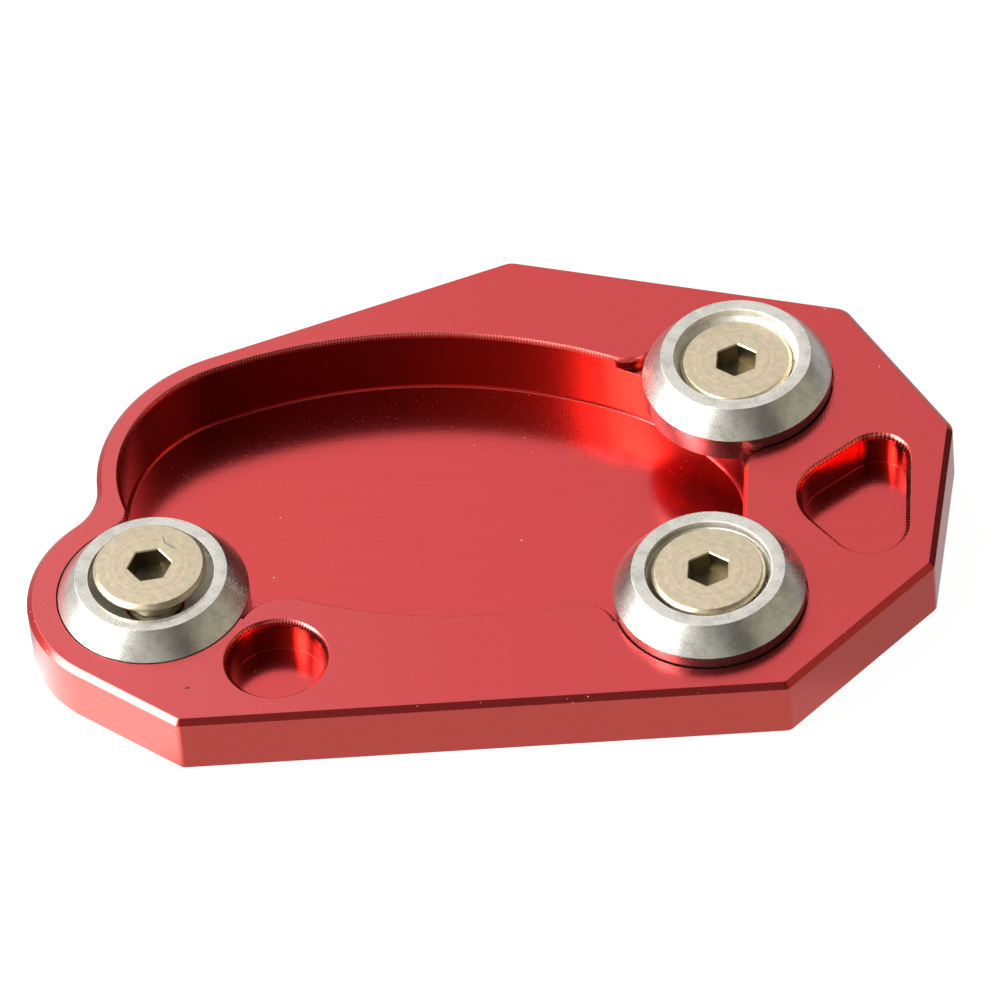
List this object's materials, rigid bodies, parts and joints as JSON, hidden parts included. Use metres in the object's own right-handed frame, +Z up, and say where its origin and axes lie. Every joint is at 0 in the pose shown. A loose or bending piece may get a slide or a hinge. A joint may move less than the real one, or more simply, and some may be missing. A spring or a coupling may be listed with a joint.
{
  "type": "kickstand foot enlarger",
  "caption": "Red anodised milled plate with an open pocket for a side stand's foot, conical clamp washers on countersunk socket screws, a round pocket and a bean pocket.",
  "frame": {"origin": "centre of the plate's box in X and Y, on the ground face", "axes": "+X along the length, from the single left washer to the two right ones; +Y from the straight front edge to the back apex; +Z up, out of the pocket"},
  "size_m": [0.0972, 0.0634, 0.0142],
  "materials": {
    "red_anodised": "satin red anodising over fine cutter marks",
    "bright_aluminium": "turned, satin",
    "stainless": "tumbled, satin"
  },
  "bodies": {
    "root": {"base_plate": "red_anodised", "washer_left": "bright_aluminium", "washer_back": "bright_aluminium", "washer_front": "bright_aluminium", "screw_left": "stainless", "screw_back": "stainless", "screw_front": "stainless"}
  },
  "joints": []
}
